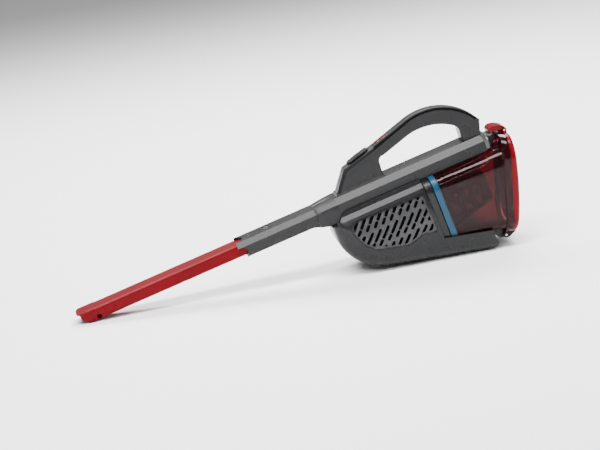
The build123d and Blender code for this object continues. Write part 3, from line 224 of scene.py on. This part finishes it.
fleece = paper("filter fleece", (0.42, 0.40, 0.36))

FINISH = {
    "shell grey": (shell_grey, ("housing_left", "housing_right", "handle_left", "handle_right",
                                "nozzle_barrel", "tool_release")),
    "grille": (grille_grey, ("grille_left", "grille_right")),
    "button": (button_grey, ("bowl_release",)),
    "tool": (tool_red, ("crevice_tool",)),
    "door": (door_red, ("bowl_door", "door_latch")),
    "soft": (soft_black, ("handle_grip", "power_switch")),
    "black": (black_plastic, ("switch_bezel", "switch_body", "filter_seat", "door_catch",
                              "hinge_block", "tool_guide", "inlet_elbow", "charge_socket")),
    "rubber": (black_rubber, ("seat_gasket", "tool_seal", "inlet_flap", "door_seal", "rear_feet")),
    "blue": (filter_blue, ("filter_frame",)),
    "cup": (cup_dark, ("prefilter_cup",)),
    "duct": (duct_grey, ("inlet_duct",)),
    "fan": (fan_plastic, ("impeller", "fan_shroud", "motor_bracket")),
    "cells": (cell_wrap, ("battery_cells",)),
    "board": (board_green, ("circuit_board",)),
    "holder": (holder_natural, ("battery_holder",)),
    "steel": (steel, ("housing_screws", "release_spring", "bowl_release_spring", "latch_spring",
                      "latch_pin", "hinge_pin", "flap_pin", "motor_shaft")),
    "motor": (motor_steel, ("motor_can",)),
    "nickel": (nickel, ("cell_straps",)),
    "bowl": (smoke_red, ("dust_bowl",)),
    "lens": (lens_red, ("indicator_lens",)),
    "fleece": (fleece, ("filter_pleats",)),
}
for material, names in FINISH.values():
    for name in names:
        mesh = nodes[name].data
        if not mesh.materials:
            mesh.materials.append(material)
        for index in range(len(mesh.materials)):
            mesh.materials[index] = material
missing = set(nodes) - {name for _, names in FINISH.values() for name in names}
if missing:
    raise SystemExit(f"no finish for {sorted(missing)}")


def shorten(name):
    """Stand-in for a CAD coil: a copy of its mesh that rides with the housing, while the CAD coil is
    hidden.
    """
    coil = nodes[name]
    mesh = coil.data.copy()
    mesh.transform(coil.matrix_world)
    spring = bpy.data.objects.new(name + "_coil", mesh)
    bpy.context.scene.collection.objects.link(spring)
    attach(spring, "housing")
    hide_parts(name)
    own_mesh(spring)


shorten("release_spring")
shorten("bowl_release_spring")


# ---- meshes inside the CAD pieces ---------------------------------------------------------------
def standing(x, y, z):
    """Point of the tool's own frame, millimetres, set down in the row frame, metres."""
    turned_x = x * math.cos(TILT) - z * math.sin(TILT) + SHIFT_X
    turned_z = x * math.sin(TILT) + z * math.cos(TILT) + SHIFT_Z
    return Vector((turned_x, y, turned_z)) / 1000


def add_mesh(name, points, faces, material, body):
    """Mesh from points and faces that rides with a body and carries the given material."""
    mesh = bpy.data.meshes.new(name)
    mesh.from_pydata(points, [], faces)
    mesh.materials.append(material)
    mesh.validate()
    mesh.update()
    piece = bpy.data.objects.new(name, mesh)
    bpy.context.scene.collection.objects.link(piece)
    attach(piece, body)
    return piece


def along(value, chain):
    """Piecewise straight interpolation along a chain of (value, result) pairs."""
    for (low, first), (high, last) in zip(chain, chain[1:]):
        if value <= high:
            return first + (last - first) * max(0.0, value - low) / (high - low)
    return chain[-1][1]


# near-black sheets behind the grilles, painted shade standing in for the dark inside of the pod,
# millimetres in the tool's own frame
POD_HALF = 50.0
WAIST_Z = -58.0
SIDE_RADIUS = 73.5
NOSE_PLAN = ((131, 18), (136, 33), (147.7, 42), (170, 48.4), (196, 54))      # x, half width
SHADE_SHEET_INSET = 5.9
SHADE_SHEET_FLOOR = -84
SHADE_SHEET_HEIGHT = 61
SHADE_SHEET_FRONT = ((-84, 222), (-71.5, 178), (-59, 164), (-38, 154.5), (-27, 155.5), (-22, 163))      # z, x
SHADE_SHEET_REAR = 265.0
SHADE_SHEET_ROWS, SHADE_SHEET_COLUMNS = 24, 40
SHADE_SHEET_THICKNESS = 0.001      # metres


def pod_side(x, z):
    """Half width of the pod's outside at a place on its side."""
    bulge = POD_HALF
    if z > WAIST_Z:
        bulge += math.sqrt(SIDE_RADIUS ** 2 - (z - WAIST_Z) ** 2) - SIDE_RADIUS
    return min(bulge, along(x, NOSE_PLAN))


for side, name in ((-1, "shade_sheet_left"), (1, "shade_sheet_right")):
    points, faces = [], []
    for row in range(SHADE_SHEET_ROWS + 1):
        z = SHADE_SHEET_FLOOR + SHADE_SHEET_HEIGHT * row / SHADE_SHEET_ROWS
        front = along(z, SHADE_SHEET_FRONT)
        for column in range(SHADE_SHEET_COLUMNS + 1):
            x = front + (SHADE_SHEET_REAR - front) * column / SHADE_SHEET_COLUMNS
            points.append(standing(x, side * (pod_side(x, z) - SHADE_SHEET_INSET), z))
    step = SHADE_SHEET_COLUMNS + 1
    for row in range(SHADE_SHEET_ROWS):
        for column in range(SHADE_SHEET_COLUMNS):
            corner = row * step + column
            faces.append((corner, corner + 1, corner + step + 1, corner + step))
    # each sheet is painted shade: it blocks the view through both grilles so the slots read black
    shade_sheet = add_mesh(name, points, faces, shade_sheet_black, "housing")
    thicken = shade_sheet.modifiers.new("thickness", "SOLIDIFY")
    thicken.thickness = SHADE_SHEET_THICKNESS
    thicken.offset = 0.0

# wire mesh in the pre-filter cup's windows, millimetres in the tool's own frame
WIRE = 0.19
WIRE_PITCH = 2
WIRE_DEPTH = 0.8      # under the cup's outside
WIRE_OVERLAP = 0.6      # past a window's edge
CUP_FRONT, CUP_REAR = 292.1, 362.0
CUP_HALF_FRONT, CUP_HALF_REAR = 42, 35
CUP_FLOOR_FRONT, CUP_FLOOR_REAR = -92, -78
WINDOW_FRONTS = (301, 319, 337)
WINDOW_WIDTH = 12
SIDE_BOTTOM, SIDE_TOP = -73.6, -42.4
FLOOR_HALF = 22.5
END_COLUMNS = (-18, 0, 18)
END_MIDDLES = (-63, -47)
END_HALF_WIDTH, END_HALF_HEIGHT = 7, 6


def cup_half(x):
    """Half width of the pre-filter cup's outside at x."""
    share = (x - CUP_FRONT) / (CUP_REAR - CUP_FRONT)
    return CUP_HALF_FRONT + (CUP_HALF_REAR - CUP_HALF_FRONT) * share


def cup_floor(x):
    """Height of the pre-filter cup's underside at x."""
    share = (x - CUP_FRONT) / (CUP_REAR - CUP_FRONT)
    return CUP_FLOOR_FRONT + (CUP_FLOOR_REAR - CUP_FLOOR_FRONT) * share


def add_wire(points, faces, start, end):
    """Square wire between two points of the tool's frame."""
    direction = (Vector(end) - Vector(start)).normalized()
    first = direction.orthogonal().normalized() * WIRE
    second = direction.cross(first)
    base = len(points)
    for place in (Vector(start), Vector(end)):
        for shift in (first, second, -first, -second):
            points.append(standing(*(place + shift)))
    for i in range(4):
        j = (i + 1) % 4
        faces.append((base + i, base + j, base + 4 + j, base + 4 + i))
    faces.append((base + 3, base + 2, base + 1, base))
    faces.append((base + 4, base + 5, base + 6, base + 7))


points, faces = [], []
for front in WINDOW_FRONTS:
    rear = front + WINDOW_WIDTH
    uprights = [front + 1 + WIRE_PITCH * i for i in range(6)]
    span = (front - WIRE_OVERLAP, rear + WIRE_OVERLAP)
    for side in (-1, 1):
        for x in uprights:
            y = side * (cup_half(x) - WIRE_DEPTH)
            add_wire(points, faces, (x, y, SIDE_BOTTOM), (x, y, SIDE_TOP))
        for i in range(15):
            z = -72 + WIRE_PITCH * i
            ends = [(x, side * (cup_half(x) - WIRE_DEPTH), z) for x in span]
            add_wire(points, faces, *ends)
    for x in uprights:
        z = cup_floor(x) + WIRE_DEPTH
        add_wire(points, faces, (x, -FLOOR_HALF, z), (x, FLOOR_HALF, z))
    for i in range(22):
        ends = [(x, -21 + WIRE_PITCH * i, cup_floor(x) + WIRE_DEPTH) for x in span]
        add_wire(points, faces, *ends)
end = CUP_REAR - WIRE_DEPTH
for column in END_COLUMNS:
    for middle in END_MIDDLES:
        for i in range(6):
            y = column - 5 + WIRE_PITCH * i
            low, high = middle - END_HALF_HEIGHT, middle + END_HALF_HEIGHT
            add_wire(points, faces, (end, y, low), (end, y, high))
        for i in range(5):
            z = middle - 4 + WIRE_PITCH * i
            left, right = column - END_HALF_WIDTH, column + END_HALF_WIDTH
            add_wire(points, faces, (end, left, z), (end, right, z))
add_mesh("prefilter_mesh", points, faces, mesh_grey, "bowl")

# ---- rounded edges ------------------------------------------------------------------------------
ROUND = {
    "housing_left": 0.001, "housing_right": 0.001, "handle_left": 0.0012, "handle_right": 0.0012,
    "nozzle_barrel": 0.0006, "crevice_tool": 0.0006,
    "tool_release": 0.0003, "bowl_release": 0.0004, "handle_grip": 0.0004, "switch_bezel": 0.0005,
    "power_switch": 0.0003, "grille_left": 0.0003, "grille_right": 0.0003, "filter_seat": 0.0005,
    "filter_frame": 0.0006, "dust_bowl": 0.0004, "door_catch": 0.0005, "door_latch": 0.0006,
    "hinge_block": 0.0006, "prefilter_cup": 0.0003, "inlet_duct": 0.0003, "bowl_door": 0.0004,
}
WELD_DISTANCE = 0.00001
EDGE_ANGLE = math.radians(32)
for name, width in ROUND.items():
    piece = nodes[name]
    weld = piece.modifiers.new("weld", "WELD")
    weld.merge_threshold = WELD_DISTANCE
    rounding = piece.modifiers.new("rounding", "BEVEL")
    rounding.width = width
    rounding.segments = 3
    rounding.limit_method = "ANGLE"
    rounding.angle_limit = EDGE_ANGLE
    rounding.harden_normals = True
    rounding.use_clamp_overlap = True

# ---- stage, light and camera --------------------------------------------------------------------
bpy.ops.mesh.primitive_plane_add(size=14, location=(0, 0, 0))
floor = bpy.context.object
floor.name = "floor"
material, _, shader = new_material("pale floor")
shader.inputs["Base Color"].default_value = (0.93, 0.93, 0.93, 1)
shader.inputs["Roughness"].default_value = 0.9
floor.data.materials.append(material)

world = bpy.data.worlds.new("studio")
bpy.context.scene.world = world
world.use_nodes = True
background = world.node_tree.nodes["Background"]
background.inputs["Color"].default_value = (1, 1, 1, 1)
background.inputs["Strength"].default_value = 0.32


def softbox(name, place, aim, size, power):
    """Rectangular studio light looking at a point."""
    light = bpy.data.lights.new(name, "AREA")
    light.shape = "RECTANGLE"
    light.size, light.size_y = size
    light.energy = power
    holder = bpy.data.objects.new(name, light)
    bpy.context.scene.collection.objects.link(holder)
    holder.location = place
    holder.rotation_euler = (Vector(aim) - Vector(place)).to_track_quat("-Z", "Y").to_euler()


softbox("key", (-0.7, -1.3, 1.5), (0.0, 0, 0.1), (0.9, 0.6), 22)
softbox("overhead", (0.1, -0.35, 1.75), (0.05, 0, 0.12), (2.2, 0.5), 85)
softbox("back", (0.2, 1.4, 1.6), (0.0, 0.2, 0.0), (2.4, 0.8), 125)
softbox("rear", (1.5, -0.7, 0.9), (0.3, 0, 0.1), (0.4, 0.9), 8)

SHOWN_SLOPE = math.radians(23.67)      # the tool's slope across the picture
toward_camera = Vector((-0.123, -0.960, 0.262)).normalized()
aim = Vector((-0.006, 0, 0.102))
distance = 2.5
camera_data = bpy.data.cameras.new("camera")
camera_data.lens = 105
camera_data.sensor_width = 36
camera = bpy.data.objects.new("camera", camera_data)
bpy.context.scene.collection.objects.link(camera)
right = Vector((0, 0, 1)).cross(toward_camera).normalized()
up = toward_camera.cross(right)
tool_axis = Vector((math.cos(TILT), 0, math.sin(TILT)))
shown = math.atan2(tool_axis.dot(up), tool_axis.dot(right))
roll = shown - SHOWN_SLOPE
right, up = (
    right * math.cos(roll) + up * math.sin(roll),
    up * math.cos(roll) - right * math.sin(roll),
)
aim += 0.0186 * right - 0.0195 * up
camera.location = aim + toward_camera * distance
camera.rotation_euler = Matrix((right, up, toward_camera)).transposed().to_euler()
bpy.context.scene.camera = camera
